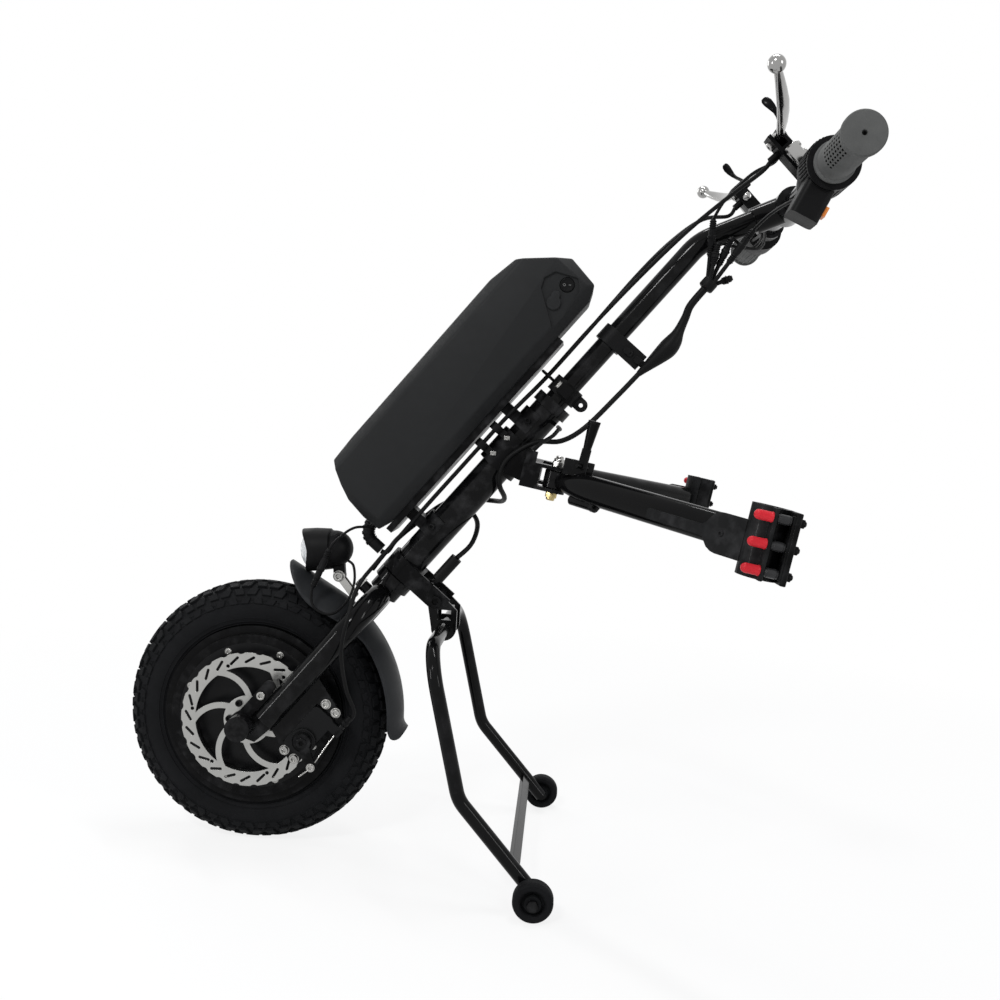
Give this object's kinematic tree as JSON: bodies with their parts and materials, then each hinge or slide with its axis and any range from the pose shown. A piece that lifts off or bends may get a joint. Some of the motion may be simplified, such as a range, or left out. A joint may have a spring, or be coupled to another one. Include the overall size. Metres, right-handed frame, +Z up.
{
  "type": "wheelchair power assist",
  "caption": "Front hub-motor drive for a manual wheelchair: braked wheel, battery on a leaning tube, high handlebar, two swing-out clamp arms and a roller stand.",
  "frame": {"origin": "centre of the bounding box's foot, on the floor under the tyre and the stand rollers", "axes": "+X back to the rider, +Y to the rider's right, +Z up"},
  "size_m": [0.7795, 0.62, 0.869],
  "materials": {
    "black_paint": "gloss black paint",
    "black_plastic": "fine matt",
    "cable_black": "matt",
    "tyre_rubber": "moulded rubber",
    "grey_rubber": "matt",
    "cover_metal": "satin black anodised",
    "bright_steel": "brushed",
    "polished_alloy": "polished",
    "red_vinyl": "soft vinyl",
    "orange_plastic": "gloss",
    "clear_lens": "clear"
  },
  "bodies": {
    "frame": {"head_tube": "black_paint", "headset_cups": "black_paint", "yoke": "black_paint", "frame_bolts": "bright_steel", "battery_rail": "black_paint", "battery_brackets": "black_paint", "cable_clips": "black_plastic", "stand_bracket": "black_paint", "motor_lead": "cable_black", "release_cable": "cable_black", "controller_boot": "cable_black"},
    "battery": {"battery_case": "black_plastic"},
    "rocker": {"power_rocker": "black_plastic"},
    "port_flap": {"charge_cap": "black_plastic"},
    "steering": {"fork": "black_paint", "stem": "black_paint", "stem_collar": "black_paint", "handlebar": "black_paint", "left_grip": "grey_rubber", "switch_box": "black_plastic", "throttle_housing": "black_plastic", "bracket_left": "black_paint", "bracket_right": "black_paint", "fender": "black_plastic", "headlight_shell": "black_plastic", "headlight_lens": "clear_lens", "headlight_bracket": "bright_steel", "caliper": "cover_metal", "axle": "bright_steel", "axle_caps": "black_plastic", "torque_arm": "black_paint", "harness_band": "black_plastic", "harness_plug": "black_plastic", "steering_bolts": "bright_steel", "control_cables": "cable_black"},
    "slider": {"light_slider": "orange_plastic"},
    "button": {"horn_button": "red_vinyl"},
    "throttle": {"throttle_grip": "grey_rubber"},
    "left_lever": {"lever_left": "polished_alloy"},
    "right_lever": {"lever_right": "polished_alloy"},
    "left_lock": {"lock_left": "black_plastic"},
    "right_lock": {"lock_right": "black_plastic"},
    "brake_arm": {"caliper_arm": "bright_steel"},
    "wheel": {"tyre": "tyre_rubber", "hub_shell": "black_paint", "hub_covers": "cover_metal", "wheel_screws": "bright_steel", "rotor": "bright_steel"},
    "left_arm": {"arm_left": "black_paint", "clamp_left": "black_paint", "jaw_left": "black_paint", "clamp_caps_left": "red_vinyl"},
    "right_arm": {"arm_right": "black_paint", "clamp_right": "black_paint", "jaw_right": "black_paint", "clamp_caps_right": "red_vinyl"},
    "release_lever": {"coupling_lever": "black_paint"},
    "stand": {"stand_frame": "black_paint"},
    "left_roller": {"roller_left": "tyre_rubber"},
    "right_roller": {"roller_right": "tyre_rubber"}
  },
  "joints": [
    {"name": "steer", "type": "hinge", "parent": "frame", "child": "steering", "pos_m": [-0.21561, 0, 0.14893], "axis": [0.6293, 0, 0.7771], "range_deg": [-35, 35], "deforming": ["control_cables"]},
    {"name": "wheel_spin", "type": "hinge", "parent": "steering", "child": "wheel", "pos_m": [-0.22804, 0, 0.159], "axis": [0, 1, 0], "continuous": true},
    {"name": "battery_slide", "type": "slide", "parent": "frame", "child": "battery", "axis": [0.6293, 0, 0.7771], "range_m": [0, 0.04]},
    {"name": "power_switch", "type": "hinge", "parent": "battery", "child": "rocker", "pos_m": [0.1171, -0.04175, 0.68373], "axis": [0.7771, 0, -0.6293], "range_deg": [-5, 5]},
    {"name": "charge_flap", "type": "hinge", "parent": "battery", "child": "port_flap", "pos_m": [0.1111, -0.045, 0.67315], "axis": [-0.7771, 0, 0.6293], "range_deg": [0, 100]},
    {"name": "light_switch", "type": "slide", "parent": "steering", "child": "slider", "axis": [0, 1, 0], "range_m": [0, 0.006]},
    {"name": "horn_press", "type": "slide", "parent": "steering", "child": "button", "axis": [-0.9063, 0, 0.4226], "range_m": [0, 0.002], "stiffness_N_per_m": 800, "springref_m": -0.001},
    {"name": "throttle_twist", "type": "hinge", "parent": "steering", "child": "throttle", "pos_m": [0.36655, 0.206, 0.78984], "axis": [0, 1, 0], "range_deg": [0, 70], "stiffness_Nm_per_rad": 0.2, "springref_deg": -5.73},
    {"name": "left_brake_lever", "type": "hinge", "parent": "steering", "child": "left_lever", "pos_m": [0.32553, -0.122, 0.83085], "axis": [0.7071, 0, 0.7071], "range_deg": [0, 20], "stiffness_Nm_per_rad": 0.6, "springref_deg": -2.86},
    {"name": "right_brake_lever", "type": "hinge", "parent": "steering", "child": "right_lever", "pos_m": [0.32553, 0.122, 0.83085], "axis": [-0.7071, 0, -0.7071], "range_deg": [0, 20], "stiffness_Nm_per_rad": 0.6, "springref_deg": -2.86},
    {"name": "left_parking_lock", "type": "hinge", "parent": "steering", "child": "left_lock", "pos_m": [0.32977, -0.112, 0.83792], "axis": [0.7071, 0, 0.7071], "range_deg": [-10, 25]},
    {"name": "right_parking_lock", "type": "hinge", "parent": "steering", "child": "right_lock", "pos_m": [0.32977, 0.112, 0.83792], "axis": [-0.7071, 0, -0.7071], "range_deg": [-10, 25]},
    {"name": "caliper_pull", "type": "hinge", "parent": "steering", "child": "brake_arm", "pos_m": [-0.15613, -0.072, 0.14452], "axis": [0, -1, 0], "range_deg": [0, 20]},
    {"name": "left_arm_swing", "type": "hinge", "parent": "frame", "child": "left_arm", "pos_m": [0.1161, -0.055, 0.46322], "axis": [0.1736, 0, 0.9848], "range_deg": [-10, 30]},
    {"name": "right_arm_swing", "type": "hinge", "parent": "frame", "child": "right_arm", "pos_m": [0.1161, 0.055, 0.46322], "axis": [0.1736, 0, 0.9848], "range_deg": [-30, 10]},
    {"name": "coupling_release", "type": "hinge", "parent": "left_arm", "child": "release_lever", "pos_m": [0.146, -0.08234, 0.48079], "axis": [0.7084, 0.6947, -0.1249], "range_deg": [0, 60]},
    {"name": "stand_fold", "type": "hinge", "parent": "frame", "child": "stand", "pos_m": [-0.01631, 0, 0.30923], "axis": [0, -1, 0], "range_deg": [0, 75]},
    {"name": "left_roller_spin", "type": "hinge", "parent": "stand", "child": "left_roller", "pos_m": [0.1209, -0.15, 0.022], "axis": [0, 1, 0], "continuous": true},
    {"name": "right_roller_spin", "type": "hinge", "parent": "stand", "child": "right_roller", "pos_m": [0.1209, 0.15, 0.022], "axis": [0, 1, 0], "continuous": true}
  ],
  "couplings": [
    {"joint": "caliper_pull", "follows": "left_brake_lever", "ratio": 1}
  ]
}
